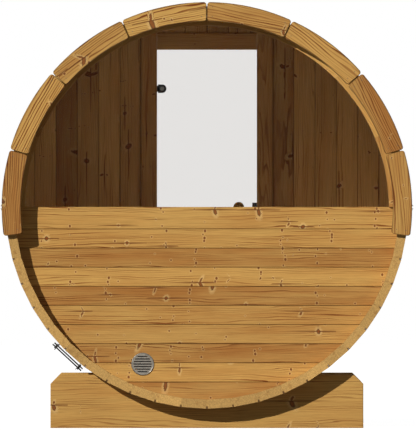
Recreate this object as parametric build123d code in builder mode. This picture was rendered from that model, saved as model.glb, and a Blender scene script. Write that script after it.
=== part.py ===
from build123d import *
from math import ceil, cos, degrees, floor, radians, sin, sqrt, tan
import os

# Barrel sauna. Millimetres, +Z up. The barrel's axis runs along Y: the window
# end faces -Y and the door end +Y. The origin is on the ground under the middle.

# Barrel of staves
stave_count = 48
sector_count = 8
stave_length = 1800.0
inner_radius = 960.0
stave_thickness = 45.0
stave_joint_gap = 0.4
stave_arris = 3.0
bead_radius = 7.0
fit_clearance = 0.3
under_barrel = 98.0

# End walls, set into a groove near the ends of the staves
wall_recess = 100.0
wall_thickness = 42.0
croze_depth = 8.0
board_gap = 0.4
board_arris = 2.5
tongue_thickness = 10.0
tongue_height = 9.0

# Half wall and half-moon window
half_wall_rise = 2.0
top_board_height = 110.5
board_pitch = 95.7
glass_thickness = 8.0
glass_edge_clearance = 4.0
glazing_slot_depth = 10.0
bead_width = 50.0
bead_proud = 22.0
bead_pieces = 8
bead_piece_gap = 0.6

# Curved trim over the stave ends
trim_pieces = 8
trim_width = 96.0
trim_overhang = 21.0
trim_thickness = 40.0
trim_drop_angle = 8.2
trim_gap = 4.0
trim_corner_radius = 15.0
trim_arris = 3.0

# Louvred vent in the half wall
vent_angle = 247.7
vent_edge_gap = 55.0
vent_radius = 57.0
vent_flange = 4.0
vent_sleeve_radius = 48.0
vent_sleeve_wall = 2.5
vent_slots = 7
vent_slot_pitch = 12.8
vent_slot_height = 6.6
vent_rim = 10.0

# Door wall and door frame
door_board_pitch = 108.5
frame_width = 678.0
frame_member = 85.0
threshold_height = 40.0
frame_proud_inside = 20.0
frame_proud_outside = 30.0
frame_corner_gap = 10.0
frame_housing = 6.0
frame_arris = 3.0
frame_above_floor = 7.0
rebate_width = 20.0
door_clearance = 5.0
leaf_set_back = 2.0
door_glass_thickness = 8.0
threshold_gap = 8.0

# Door hinges, knobs and catch
hinge_inset = 213.0
hinge_plate = 43.0
hinge_plate_thickness = 5.0
hinge_outer_thickness = 12.0
hinge_boss_radius = 9.0
hinge_disc_radius = 14.0
hinge_disc_thickness = 1.5
knuckle_radius = 7.0
knuckle_height = 30.0
pin_radius = 4.0
pin_clearance = 0.08
knuckle_gap = 0.5
hinge_axis_out = 13.0
hinge_axis_side = 10.0
hinge_arm_gap = 6.0
bracket_inset = 8.0
bracket_width = 47.0
knob_radius = 28.0
knob_length = 42.0
knob_crown = 16.0
knob_crown_steps = 4
knob_neck_radius = 13.0
knob_foot_radius = 18.0
knob_foot_thickness = 4.0
knob_backset = 107.0
knob_bolt_radius = 5.0
catch_width = 23.0
catch_height = 49.0
catch_depth = 20.0

# Cradles
cradle_setback = 145.0
cradle_thickness = 90.0
cradle_width = 1567.0
cradle_height = 266.0
cradle_chamfer = 44.0
cradle_arris = 3.0

# Steel bands with a tension rod
band_from_middle = 560.0
band_width = 30.0
band_thickness = 1.5
tension_angle = 227.0
ear_spacing = 144.0
ear_height = 38.0
ear_thickness = 4.0
rod_length = 196.0
rod_radius = 4.0
rod_offset = 23.0
nut_size = 15.0
nut_height = 7.5
splice_ear_height = 29.0
splice_hole_height = 17.4
splice_ear_thickness = 3.0
splice_spacing = 15.0
splice_hole_radius = 4.3

# Floor
floor_rise = 140.0
floor_board_width = 98.0
floor_board_thickness = 26.0
floor_board_gap = 10.0
floor_end_gap = 5.0
bearer_count = 3
bearer_thickness = 45.0
bearer_edge_gap = 14.0

# Sizes that follow from the ones above
stave_angle = 360.0 / stave_count
staves_per_sector = stave_count // sector_count
outer_radius = inner_radius + stave_thickness
corner_radius = outer_radius / cos(radians(stave_angle / 2))
seat_radius = corner_radius + fit_clearance
axis_height = under_barrel + seat_radius
wall_radius = inner_radius + croze_depth - fit_clearance
wall_middle = stave_length / 2 - wall_recess - wall_thickness / 2
wall_inside = wall_middle - wall_thickness / 2
wall_outside = wall_middle + wall_thickness / 2
trim_radius = outer_radius + trim_overhang

# Planes that look at the barrel from the window end: x to the right, y up
barrel = Plane(origin=(0, 0, axis_height), x_dir=(1, 0, 0), z_dir=(0, -1, 0))
window_wall = barrel.offset(wall_middle)
door_wall = barrel.offset(-wall_middle)

os.makedirs("parts", exist_ok=True)


def keep(piece, name):
    """Label a finished piece and write it."""
    piece.part.label = name
    export_step(piece.part, f"parts/{name}.step")


# Staves: a bead along one edge, a cove along the other
edge_slope = tan(radians(stave_angle / 2))
edge_inset = stave_joint_gap / 2 / cos(radians(stave_angle / 2))
middle_radius = inner_radius + stave_thickness / 2
with BuildSketch() as stave_section:
    with BuildLine():
        Polyline(
            (-inner_radius * edge_slope + edge_inset, inner_radius),
            (inner_radius * edge_slope - edge_inset, inner_radius),
            (outer_radius * edge_slope - edge_inset, outer_radius),
            (-outer_radius * edge_slope + edge_inset, outer_radius),
            close=True,
        )
    make_face()
    chamfer(stave_section.vertices(), length=stave_arris)
    with Locations((middle_radius * edge_slope, middle_radius)):
        Circle(bead_radius)
    with Locations((-middle_radius * edge_slope, middle_radius)):
        Circle(bead_radius + fit_clearance, mode=Mode.SUBTRACT)

sector_angle = 360.0 / sector_count
sector_names = [
    "staves_top",
    "staves_upper_left",
    "staves_left",
    "staves_lower_left",
    "staves_bottom",
    "staves_lower_right",
    "staves_right",
    "staves_upper_right",
]
for sector, sector_name in enumerate(sector_names):
    first_stave = sector * sector_angle - (sector_angle - stave_angle) / 2
    with BuildPart() as staves:
        with BuildSketch(barrel):
            with PolarLocations(0, staves_per_sector, first_stave, sector_angle):
                add(stave_section.sketch)
        extrude(amount=stave_length / 2, both=True)
        with BuildSketch(window_wall, door_wall):
            RegularPolygon(inner_radius + croze_depth, stave_count, major_radius=False)
        extrude(amount=wall_thickness / 2 + fit_clearance, both=True, mode=Mode.SUBTRACT)
    keep(staves, sector_name)


# Half wall of horizontal tongue-and-groove boards, with a slot for the glass in its top edge
tongue_groove = tongue_thickness + 2 * fit_clearance
groove_depth = tongue_height + fit_clearance + board_gap
glass_slot = glass_thickness + 2 * fit_clearance
lower_boards = ceil((wall_radius + half_wall_rise - top_board_height) / board_pitch)
vent_distance = inner_radius - vent_edge_gap - vent_radius
vent_x = vent_distance * cos(radians(vent_angle))
vent_z = vent_distance * sin(radians(vent_angle))

with BuildPart() as half_wall:
    for board in range(lower_boards + 1):
        board_top = half_wall_rise
        board_height = top_board_height
        if board > 0:
            board_top = half_wall_rise - top_board_height - (board - 1) * board_pitch
            board_height = board_pitch
        board_middle = axis_height + board_top - board_height / 2
        with BuildSketch(Plane.YZ) as board_section:
            with Locations((-wall_middle, board_middle)):
                Rectangle(wall_thickness, board_height - board_gap)
                chamfer(board_section.vertices(), length=board_arris)
                with Locations((0, -(board_height - board_gap) / 2)):
                    Rectangle(tongue_groove, 2 * groove_depth, mode=Mode.SUBTRACT)
                with Locations((0, (board_height - board_gap) / 2)):
                    if board == 0:
                        Rectangle(glass_slot, 2 * glazing_slot_depth, mode=Mode.SUBTRACT)
                    else:
                        Rectangle(tongue_thickness, 2 * tongue_height)
        extrude(amount=wall_radius, both=True)
    with BuildSketch(window_wall):
        Circle(wall_radius)
        with Locations((vent_x, vent_z)):
            Circle(vent_sleeve_radius + fit_clearance, mode=Mode.SUBTRACT)
    extrude(amount=wall_thickness, both=True, mode=Mode.INTERSECT)
keep(half_wall, "half_wall")

# Half-moon glass, its edge in the groove of the staves and in the slot of the half wall
glass_foot = half_wall_rise - board_gap / 2 - glazing_slot_depth + fit_clearance
with BuildPart() as window_glass:
    with BuildSketch(window_wall):
        Circle(inner_radius + croze_depth - glass_edge_clearance)
        with Locations((0, glass_foot)):
            Rectangle(2 * trim_radius, trim_radius, align=(Align.CENTER, Align.MAX), mode=Mode.SUBTRACT)
    extrude(amount=glass_thickness / 2, both=True)
keep(window_glass, "window_glass")

# Curved beads that hold the glass, one in front of it and one behind
bead_outer_radius = inner_radius - fit_clearance
bead_inner_radius = inner_radius - bead_width
bead_depth = (wall_thickness - glass_thickness) / 2 + bead_proud - fit_clearance
bead_span = 180.0 / bead_pieces
bead_cut = degrees(bead_piece_gap / 2 / inner_radius)


def arc_piece(inner, outer, half_angle, corner=0.0):
    """Section of a ring segment centred at the top, with its corners rounded if asked."""
    with BuildSketch() as section:
        with BuildLine():
            CenterArc((0, 0), outer, 90 - half_angle, 2 * half_angle)
            CenterArc((0, 0), inner, 90 - half_angle, 2 * half_angle)
            for side in (radians(90 - half_angle), radians(90 + half_angle)):
                Line((inner * cos(side), inner * sin(side)), (outer * cos(side), outer * sin(side)))
        make_face()
        if corner > 0:
            fillet(section.vertices(), radius=corner)
    return section


bead_section = arc_piece(bead_inner_radius, bead_outer_radius, bead_span / 2 - bead_cut)
bead_start = wall_middle + glass_thickness / 2 + fit_clearance
for bead_name, bead_plane in (
    ("window_bead_outside", barrel.offset(bead_start)),
    ("window_bead_inside", barrel.offset(2 * wall_middle - bead_start - bead_depth)),
):
    with BuildPart() as window_bead:
        with BuildSketch(bead_plane):
            with PolarLocations(0, bead_pieces, (bead_span - 180) / 2, 180.0):
                add(bead_section.sketch)
            with Locations((0, half_wall_rise)):
                Rectangle(2 * trim_radius, trim_radius, align=(Align.CENTER, Align.MAX), mode=Mode.SUBTRACT)
        extrude(amount=bead_depth)
    keep(window_bead, bead_name)

# Curved trim boards with rounded corners, over the stave ends at both ends
trim_span = (180.0 + 2 * trim_drop_angle) / trim_pieces
trim_cut = degrees(trim_gap / 2 / trim_radius)
trim_section = arc_piece(
    trim_radius - trim_width, trim_radius, trim_span / 2 - trim_cut, trim_corner_radius
)
trim_first = trim_span / 2 - trim_drop_angle - 90
for trim_name, trim_plane, outside in (
    ("window_trim", barrel.offset(stave_length / 2), 0),
    ("door_trim", barrel.offset(-stave_length / 2 - trim_thickness), -1),
):
    with BuildPart() as trim:
        with BuildSketch(trim_plane):
            with PolarLocations(0, trim_pieces, trim_first, 180.0 + 2 * trim_drop_angle):
                add(trim_section.sketch)
        extrude(amount=trim_thickness)
        chamfer(trim.faces().filter_by(Axis.Y).group_by(Axis.Y)[outside].edges(), length=trim_arris)
    keep(trim, trim_name)

# Louvred vent: a sleeve through the half wall and a flange with slots over its face
vent_face = barrel.offset(wall_outside)
with BuildPart() as vent:
    with BuildSketch(barrel.offset(wall_inside)):
        with Locations((vent_x, vent_z)):
            Circle(vent_sleeve_radius)
            Circle(vent_sleeve_radius - vent_sleeve_wall, mode=Mode.SUBTRACT)
    extrude(amount=wall_thickness + vent_flange / 2)
    with BuildSketch(vent_face.offset(fit_clearance)):
        with Locations((vent_x, vent_z)):
            Circle(vent_radius)
    extrude(amount=vent_flange)
    chamfer(vent.faces().sort_by(Axis.Y)[0].edges(), length=vent_flange / 3)
    with BuildSketch(vent_face) as slots:
        with Locations((vent_x, vent_z)):
            Circle(vent_radius - vent_rim)
            with GridLocations(0, vent_slot_pitch, 1, vent_slots):
                Rectangle(2 * vent_radius, vent_slot_height, mode=Mode.SUBTRACT)
        add(
            Circle(vent_radius - vent_rim, mode=Mode.PRIVATE).moved(Location((vent_x, vent_z)))
            - slots.sketch_local,
            mode=Mode.REPLACE,
        )
    extrude(amount=2 * vent_flange, mode=Mode.SUBTRACT)
keep(vent, "vent")

# Door frame: its upper corners come close to the staves, its foot stands just over the floor
frame_half = frame_width / 2
opening_half = frame_half - frame_member
head_top = sqrt((inner_radius - frame_corner_gap) ** 2 - frame_half**2)
head_bottom = head_top - frame_member
floor_top = floor_rise - inner_radius
frame_foot = floor_top + frame_above_floor
threshold_top = frame_foot + threshold_height
frame_inside = wall_inside - frame_proud_inside
frame_outside = wall_outside + frame_proud_outside
rebate_depth = door_clearance + door_glass_thickness + leaf_set_back
stop_face = frame_outside - rebate_depth

frame_section_y = (frame_inside + frame_outside) / 2
frame_depth = frame_outside - frame_inside
housing_width = wall_thickness + 2 * fit_clearance
housing_ends = [(wall_middle, axis_height + head_top), (wall_middle, axis_height + frame_foot)]
for jamb_name, side in (("door_jamb_left", -1), ("door_jamb_right", 1)):
    with BuildPart() as jamb:
        with BuildSketch(Plane.XY.offset(axis_height + frame_foot)) as jamb_section:
            with Locations((side * (frame_half - frame_member / 2), frame_section_y)):
                Rectangle(frame_member, frame_depth)
            chamfer(jamb_section.vertices(), length=frame_arris)
            with Locations((side * opening_half, frame_outside)):
                Rectangle(2 * rebate_width, 2 * rebate_depth, mode=Mode.SUBTRACT)
            with Locations((side * frame_half, wall_middle)):
                Rectangle(2 * frame_housing, housing_width, mode=Mode.SUBTRACT)
        extrude(amount=head_top - frame_foot)
        with BuildSketch(Plane.YZ):
            with Locations(*housing_ends):
                Rectangle(housing_width, 2 * frame_housing)
        extrude(amount=frame_width, both=True, mode=Mode.SUBTRACT)
    keep(jamb, jamb_name)

member_length = 2 * (opening_half - fit_clearance)
with BuildPart() as door_head:
    with BuildSketch(Plane.YZ) as head_section:
        with Locations((frame_section_y, axis_height + head_top - frame_member / 2)):
            Rectangle(frame_depth, frame_member)
        chamfer(head_section.vertices(), length=frame_arris)
        with Locations((frame_outside, axis_height + head_bottom)):
            Rectangle(2 * rebate_depth, 2 * rebate_width, mode=Mode.SUBTRACT)
        with Locations(housing_ends[0]):
            Rectangle(housing_width, 2 * frame_housing, mode=Mode.SUBTRACT)
    extrude(amount=member_length / 2, both=True)
keep(door_head, "door_head")

with BuildPart() as door_threshold:
    with BuildSketch(Plane.YZ) as threshold_section:
        with Locations((frame_section_y, axis_height + frame_foot + threshold_height / 2)):
            Rectangle(frame_depth, threshold_height)
        chamfer(threshold_section.vertices(), length=frame_arris)
        with Locations(housing_ends[1]):
            Rectangle(housing_width, 2 * frame_housing, mode=Mode.SUBTRACT)
    extrude(amount=member_length / 2, both=True)
keep(door_threshold, "door_threshold")


def upright_boards(edges, low, high):
    """Upright boards between the given edges, cut to the round of the barrel."""
    with BuildPart() as boards:
        for left, right in zip(edges, edges[1:]):
            width = right - left
            with BuildSketch(Plane.XY.offset(axis_height + low)) as board_section:
                with Locations(((left + right) / 2, wall_middle)):
                    Rectangle(width - board_gap, wall_thickness)
                    chamfer(board_section.vertices(), length=board_arris)
                    with Locations((-(width - board_gap) / 2, 0)):
                        Rectangle(2 * groove_depth, tongue_groove, mode=Mode.SUBTRACT)
                    if right != edges[-1]:
                        with Locations(((width - board_gap) / 2, 0)):
                            Rectangle(2 * tongue_height, tongue_thickness)
            extrude(amount=high - low)
        with BuildSketch(door_wall):
            Circle(wall_radius)
        extrude(amount=wall_thickness, both=True, mode=Mode.INTERSECT)
    return boards


# Door wall: upright boards beside, over and under the frame, their edges housed in it
side_start = frame_half - frame_housing + fit_clearance
side_boards = ceil((wall_radius - side_start) / door_board_pitch)
right_edges = [side_start + step * door_board_pitch for step in range(side_boards + 1)]
left_edges = [-edge for edge in reversed(right_edges)]
keep(upright_boards(left_edges, -wall_radius, wall_radius), "door_wall_left")
keep(upright_boards(right_edges, -wall_radius, wall_radius), "door_wall_right")

short_boards = round(2 * side_start / door_board_pitch)
short_pitch = 2 * side_start / short_boards
short_edges = [-side_start + step * short_pitch for step in range(short_boards + 1)]
over_start = head_top - frame_housing + fit_clearance
under_end = frame_foot + frame_housing - fit_clearance
keep(upright_boards(short_edges, over_start, wall_radius), "door_wall_over")
keep(upright_boards(short_edges, -wall_radius, under_end), "door_wall_under")

# Glass door leaf, hung outside its stop, with holes for the hinge bosses and the knob bolt
leaf_half = opening_half + rebate_width - door_clearance
leaf_top = head_bottom + rebate_width - door_clearance
leaf_foot = threshold_top + threshold_gap
leaf_outside = frame_outside - leaf_set_back
leaf_inside = leaf_outside - door_glass_thickness
hinge_plate_edge = opening_half - door_clearance
hinge_boss_x = -hinge_plate_edge + hinge_plate / 2
hinge_heights = {"upper": leaf_top - hinge_inset, "lower": leaf_foot + hinge_inset}
knob_x = leaf_half - knob_backset

with BuildPart() as door_glass:
    with BuildSketch(barrel.offset(-leaf_outside)):
        with Locations((0, (leaf_top + leaf_foot) / 2)):
            Rectangle(2 * leaf_half, leaf_top - leaf_foot)
        with Locations(*[(hinge_boss_x, height) for height in hinge_heights.values()]):
            Circle(hinge_boss_radius + fit_clearance, mode=Mode.SUBTRACT)
        with Locations((knob_x, 0)):
            Circle(knob_bolt_radius + fit_clearance, mode=Mode.SUBTRACT)
    extrude(amount=door_glass_thickness)
keep(door_glass, "door_glass")

# Hinges: a clamp through the glass with a knuckle, between two knuckles on the jamb
hinge_x = -(opening_half + rebate_width + hinge_axis_side)
hinge_y = frame_outside + hinge_axis_out
frame_knuckle = knuckle_height / 2
plate_round = hinge_plate / 2
for hinge_name, hinge_height in hinge_heights.items():
    hinge_z = axis_height + hinge_height
    with BuildPart() as clamp:
        for plate_start, plate_thickness in (
            (leaf_inside - fit_clearance - hinge_plate_thickness, hinge_plate_thickness),
            (leaf_outside + fit_clearance, hinge_outer_thickness),
        ):
            with BuildSketch(barrel.offset(-plate_start - plate_thickness)):
                with Locations((hinge_boss_x, hinge_height)):
                    Circle(plate_round)
                    with Locations((-plate_round / 2, 0)):
                        Rectangle(plate_round, hinge_plate)
            extrude(amount=plate_thickness)
        with BuildSketch(barrel.offset(-leaf_outside - hinge_outer_thickness / 2)):
            with Locations((hinge_boss_x, hinge_height)):
                Circle(hinge_boss_radius)
        extrude(amount=door_glass_thickness + hinge_outer_thickness)
        with BuildSketch(barrel.offset(-leaf_inside + fit_clearance + hinge_plate_thickness)):
            with Locations((hinge_boss_x, hinge_height)):
                Circle(hinge_disc_radius)
        extrude(amount=hinge_disc_thickness)
        with BuildSketch(Plane.XY.offset(hinge_z)):
            with BuildLine():
                arm_top = leaf_outside + fit_clearance + hinge_outer_thickness
                arm_end = -hinge_plate_edge + hinge_disc_thickness
                Polyline(
                    (hinge_x, frame_outside + hinge_arm_gap),
                    (-leaf_half, frame_outside + hinge_arm_gap),
                    (-leaf_half, leaf_outside + fit_clearance),
                    (arm_end, leaf_outside + fit_clearance),
                    (arm_end, arm_top),
                    (hinge_x, hinge_y + knuckle_radius),
                    close=True,
                )
            make_face()
            with Locations((hinge_x, hinge_y)):
                Circle(knuckle_radius)
        extrude(amount=knuckle_height / 2, both=True)
        with BuildSketch(Plane.XY.offset(hinge_z)):
            with Locations((hinge_x, hinge_y)):
                Circle(pin_radius + pin_clearance)
        extrude(amount=knuckle_height, both=True, mode=Mode.SUBTRACT)
    keep(clamp, f"hinge_{hinge_name}_clamp")

    with BuildPart() as bracket:
        bracket_reach = knuckle_height / 2 + knuckle_gap + frame_knuckle
        for knuckle_start in (-bracket_reach, knuckle_height / 2 + knuckle_gap):
            with BuildSketch(Plane.XY.offset(hinge_z + knuckle_start)):
                with Locations((hinge_x, hinge_y)):
                    Circle(knuckle_radius)
                with Locations((hinge_x - knuckle_radius, frame_outside)):
                    Rectangle(knuckle_radius * 2, hinge_axis_out, align=(Align.CENTER, Align.MIN))
            extrude(amount=frame_knuckle)
        with BuildSketch(Plane.XY.offset(hinge_z)):
            with Locations((-frame_half + bracket_inset, frame_outside)):
                Rectangle(bracket_width, hinge_plate_thickness, align=(Align.MIN, Align.MIN))
        extrude(amount=bracket_reach, both=True)
        with BuildSketch(Plane.XY.offset(hinge_z)):
            with Locations((hinge_x, hinge_y)):
                Circle(pin_radius)
        extrude(amount=bracket_reach, both=True)
    keep(bracket, f"hinge_{hinge_name}_bracket")

# Two turned knobs on one bolt through the glass
knob_face = leaf_outside + fit_clearance
knob_widest = knob_length - knob_crown
knob_bulge = knob_radius - knob_neck_radius
crown_turns = [radians(90 * step / knob_crown_steps) for step in range(knob_crown_steps + 1)]
crown = [(knob_radius * sin(turn), knob_widest + knob_crown * cos(turn)) for turn in crown_turns]
belly = [
    (knob_neck_radius + knob_bulge * cos(turn), knob_widest - knob_crown * sin(turn))
    for turn in crown_turns[1:]
]
with BuildPart() as knob_outside:
    with BuildSketch(Plane((knob_x, knob_face, axis_height))):
        with BuildLine():
            Polyline(
                *crown,
                *belly,
                (knob_neck_radius, knob_foot_thickness),
                (knob_foot_radius, knob_foot_thickness),
                (knob_foot_radius, 0),
                (0, 0),
                close=True,
            )
        make_face()
    revolve(axis=Axis((knob_x, 0, axis_height), (0, 1, 0)))
    with BuildSketch(barrel.offset(-knob_face)):
        with Locations((knob_x, 0)):
            Circle(knob_bolt_radius + fit_clearance)
    extrude(amount=knob_length / 2 + fit_clearance, both=True, mode=Mode.SUBTRACT)
keep(knob_outside, "knob_outside")

with BuildPart() as knob_inside:
    mirror(knob_outside.part, about=barrel.offset(-(leaf_inside + leaf_outside) / 2))
keep(knob_inside, "knob_inside")

with BuildPart() as knob_bolt:
    with BuildSketch(barrel.offset(-(leaf_inside + leaf_outside) / 2)):
        with Locations((knob_x, 0)):
            Circle(knob_bolt_radius)
    extrude(amount=(door_glass_thickness + knob_length) / 2, both=True)
keep(knob_bolt, "knob_bolt")

# Roller catch on the right jamb, inside the glass
with BuildPart() as door_catch:
    with BuildSketch(Plane.XY.offset(axis_height - catch_height / 2)):
        with Locations((opening_half - fit_clearance, stop_face - fit_clearance)):
            Rectangle(catch_width, catch_depth, align=(Align.MAX, Align.MAX))
    extrude(amount=catch_height)
    fillet(door_catch.edges().filter_by(Axis.Z).group_by(Axis.X)[0], radius=catch_depth / 4)
keep(door_catch, "door_catch")

# Cradles, hollowed to the round of the barrel
for cradle_name, end in (("cradle_window_end", 1), ("cradle_door_end", -1)):
    cradle_middle = end * (stave_length / 2 - cradle_setback - cradle_thickness / 2)
    with BuildPart() as cradle:
        with BuildSketch(barrel.offset(cradle_middle)) as cradle_section:
            with Locations((0, -axis_height)):
                Rectangle(cradle_width, cradle_height, align=(Align.CENTER, Align.MIN))
            chamfer(cradle_section.vertices().group_by(Axis.Y)[-1], length=cradle_chamfer)
            Circle(seat_radius, mode=Mode.SUBTRACT)
        extrude(amount=cradle_thickness / 2, both=True)
        cradle_edges = cradle.faces().filter_by(Axis.Y).edges().filter_by(GeomType.LINE)
        chamfer(cradle_edges.sort_by(Axis.Z)[2:], length=cradle_arris)
    keep(cradle, cradle_name)

# Steel bands in three lengths, with bent-up ears at the tension rod and at each side
band_inner = outer_radius + fit_clearance
band_outer = band_inner + band_thickness
rod_distance = outer_radius + rod_offset
ear_edge = (ear_spacing - ear_thickness) / 2
for band_name, rod_name, end in (
    ("band_window_end", "tension_rod_window_end", 1),
    ("band_door_end", "tension_rod_door_end", -1),
):
    band_plane = barrel.offset(end * band_from_middle)
    with BuildPart() as band:
        with BuildSketch(band_plane):
            RegularPolygon(band_outer, stave_count, major_radius=False)
            with PolarLocations(0, 1, tension_angle):
                with Locations((band_outer, 0)):
                    Rectangle(2 * ear_height, 2 * ear_edge, mode=Mode.SUBTRACT)
                with Locations((band_outer, -ear_spacing / 2), (band_outer, ear_spacing / 2)):
                    Rectangle(2 * ear_height, ear_thickness)
            with PolarLocations(0, 2, 0.0, 360.0):
                with Locations((band_outer, 0)):
                    Rectangle(2 * splice_ear_height, splice_spacing, mode=Mode.SUBTRACT)
                with Locations((band_outer, -splice_spacing / 2), (band_outer, splice_spacing / 2)):
                    Rectangle(2 * splice_ear_height, splice_ear_thickness)
            RegularPolygon(band_inner, stave_count, major_radius=False, mode=Mode.SUBTRACT)
        extrude(amount=band_width / 2, both=True)
        rod_across = Vector(-sin(radians(tension_angle)), 0, cos(radians(tension_angle)))
        rod_middle = Vector(
            rod_distance * cos(radians(tension_angle)),
            -end * band_from_middle,
            axis_height + rod_distance * sin(radians(tension_angle)),
        )
        rod_plane = Plane(origin=rod_middle, x_dir=(0, 1, 0), z_dir=rod_across)
        with BuildSketch(rod_plane):
            Circle(rod_radius + fit_clearance)
        extrude(amount=rod_length / 2, both=True, mode=Mode.SUBTRACT)
        with BuildSketch(Plane.XY.offset(axis_height)):
            with GridLocations(2 * (band_outer + splice_hole_height), 1, 2, 1):
                with Locations((0, -end * band_from_middle)):
                    Circle(splice_hole_radius)
        extrude(amount=splice_spacing, both=True, mode=Mode.SUBTRACT)
    keep(band, band_name)

    nut_start = ear_spacing / 2 + ear_thickness / 2 + fit_clearance
    with BuildPart() as tension_rod:
        with BuildSketch(rod_plane):
            Circle(rod_radius)
        extrude(amount=rod_length / 2, both=True)
        for nut_plane in (rod_plane.offset(nut_start), rod_plane.offset(-nut_start - nut_height)):
            with BuildSketch(nut_plane):
                RegularPolygon(nut_size / 2, 6, major_radius=False)
            extrude(amount=nut_height)
    keep(tension_rod, rod_name)

# Floor boards along the barrel, on bearers cut to its round
floor_underside = floor_top - floor_board_thickness
floor_half = sqrt(inner_radius**2 - floor_underside**2) - bearer_edge_gap
floor_step = floor_board_width + floor_board_gap
floor_count = floor((2 * floor_half + floor_board_gap) / floor_step)
floor_length = 2 * (wall_inside - floor_end_gap)
with BuildPart() as floor_boards:
    with BuildSketch(barrel) as floor_section:
        with Locations((0, floor_top - floor_board_thickness / 2)):
            with GridLocations(floor_step, 1, floor_count, 1):
                Rectangle(floor_board_width, floor_board_thickness)
        chamfer(floor_section.vertices().group_by(Axis.Y)[-1], length=board_arris)
    extrude(amount=floor_length / 2, both=True)
keep(floor_boards, "floor_boards")

bearer_step = (floor_length - bearer_thickness) / bearer_count
with BuildPart() as floor_bearers:
    bearer_planes = [
        barrel.offset((step - (bearer_count - 1) / 2) * bearer_step) for step in range(bearer_count)
    ]
    with BuildSketch(*bearer_planes):
        Circle(inner_radius - fit_clearance)
        with Locations((0, floor_underside)):
            Rectangle(2 * trim_radius, 3 * trim_radius, align=(Align.CENTER, Align.MIN), mode=Mode.SUBTRACT)
        with Locations((floor_half, 0), (-floor_half - trim_radius, 0)):
            Rectangle(trim_radius, 3 * trim_radius, align=(Align.MIN, Align.CENTER), mode=Mode.SUBTRACT)
    extrude(amount=bearer_thickness / 2, both=True)
keep(floor_bearers, "floor_bearers")
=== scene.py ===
import math

import bmesh
import bpy
from mathutils import Matrix, Vector


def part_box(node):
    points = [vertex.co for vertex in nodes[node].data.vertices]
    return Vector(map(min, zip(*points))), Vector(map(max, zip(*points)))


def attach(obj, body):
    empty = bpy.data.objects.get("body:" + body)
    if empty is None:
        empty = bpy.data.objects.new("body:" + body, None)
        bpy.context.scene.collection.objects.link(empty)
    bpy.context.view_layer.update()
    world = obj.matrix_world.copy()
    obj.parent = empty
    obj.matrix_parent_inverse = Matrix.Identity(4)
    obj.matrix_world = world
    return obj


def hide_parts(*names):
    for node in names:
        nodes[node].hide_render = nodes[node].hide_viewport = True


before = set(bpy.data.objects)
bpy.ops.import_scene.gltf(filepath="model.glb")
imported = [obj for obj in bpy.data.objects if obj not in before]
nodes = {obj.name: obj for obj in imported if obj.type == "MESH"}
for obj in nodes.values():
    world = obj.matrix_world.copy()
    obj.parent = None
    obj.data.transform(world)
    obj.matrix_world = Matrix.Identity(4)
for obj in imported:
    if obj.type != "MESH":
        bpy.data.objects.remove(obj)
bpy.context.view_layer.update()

# The barrel, in metres, with its places read from the frame
STAVE_COUNT = 48
STAVE_ANGLE = math.radians(360.0 / STAVE_COUNT)
STAVE_NODES = [name for name in nodes if name.startswith("staves_")]
AXIS_Z = (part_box("staves_top")[1].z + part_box("staves_bottom")[0].z) / 2
OUTER_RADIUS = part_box("staves_right")[1].x
STAVE_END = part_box("staves_top")[1].y
HALF_WALL_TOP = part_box("half_wall")[1].z
FRAME_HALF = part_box("door_jamb_right")[1].x

# Boards, as the walls are laid. The half wall's are counted from a start below it, and the last, at the
# top, is wider
BOARD_PITCH = 0.0957
TOP_BOARD = 0.1105
TOP_NUMBER = 12
UPRIGHT_PITCH = 0.1085
UPRIGHT_START = 0.3333
SHORT_PITCH = 0.1111
FLOOR_PITCH = 0.108
JAMB_PITCH = 0.17
HEAD_PITCH = 0.4
BEARER_WIDTH = 0.045

# The trims cover the upper half and drop a little below it. Their rims are their inner and outer radius
TRIM_BOARDS = 8
TRIM_DROP = math.radians(8.2)
TRIM_ANGLE = (math.pi + 2 * TRIM_DROP) / TRIM_BOARDS
TRIM_RIMS = (0.930, 1.026)
BEAD_ANGLE = math.pi / 8

# Tension rods and band splices
TENSION_ANGLE = math.radians(227.0)
ROD_OFFSET = 0.023
ROD_RADIUS = 0.004
ROD_LENGTH = 0.196
ROD_PITCH = 0.0015
ROD_THREAD_DEPTH = 0.0008
ROD_WASHER_RADIUS = 1.9 * ROD_RADIUS
ROD_NUT_SIZE = 0.015
ROD_NUT_HEIGHT = 0.007
EAR_SPACING = 0.144
EAR_THICKNESS = 0.004
BAND_THICKNESS = 0.0015
SPLICE_SPACING = 0.015
SPLICE_BOLT_INSET = 0.0116
SPLICE_BOLT_RADIUS = 0.004
SPLICE_BOLT_LENGTH = 0.036
SPLICE_PITCH = 0.00125
SPLICE_THREAD_DEPTH = 0.0006
SPLICE_WASHER_RADIUS = 0.008
SPLICE_NUT_RADIUS = 0.0075
SPLICE_HEAD_HEIGHT = 0.0053
SPLICE_NUT_HEIGHT = 0.0065
WASHER_THICKNESS = 0.0012
WASHER_EDGE = 0.0003
NUT_CHAMFER = 0.0008

# Door, vent and small fixings
HINGE_BOSS_X = -0.2275
HINGE_CAP_RADIUS = 0.0105
HINGE_CAP_THICKNESS = 0.0008
HINGE_PLATE = 0.005
HINGE_SCREW_COLUMNS = (0.010, 0.027)
HINGE_SCREW_RISE = 0.020
HINGE_SCREW_RADIUS = 0.0042
HINGE_SCREW_HEIGHT = 0.0010
HINGE_SCREW_EDGE = 0.0006
KNOB_RADIUS = 0.028
KNOB_NECK = 0.013
KNOB_FOOT = 0.018
KNOB_FOOT_EDGE = 0.001
KNOB_FOOT_HEIGHT = 0.004
KNOB_NECK_START = 0.0045
KNOB_WIDEST = 0.026
KNOB_CROWN = 0.016
VENT_FLANGE = 0.004
VENT_RIM_RADIUS = 0.0028
VENT_RIM_INSET = 0.0006
GAUZE_SETBACK = 0.003
GAUZE_INSET = 0.0125
GAUZE_WIRE = 0.0021
GAUZE_WIRES = 24
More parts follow.
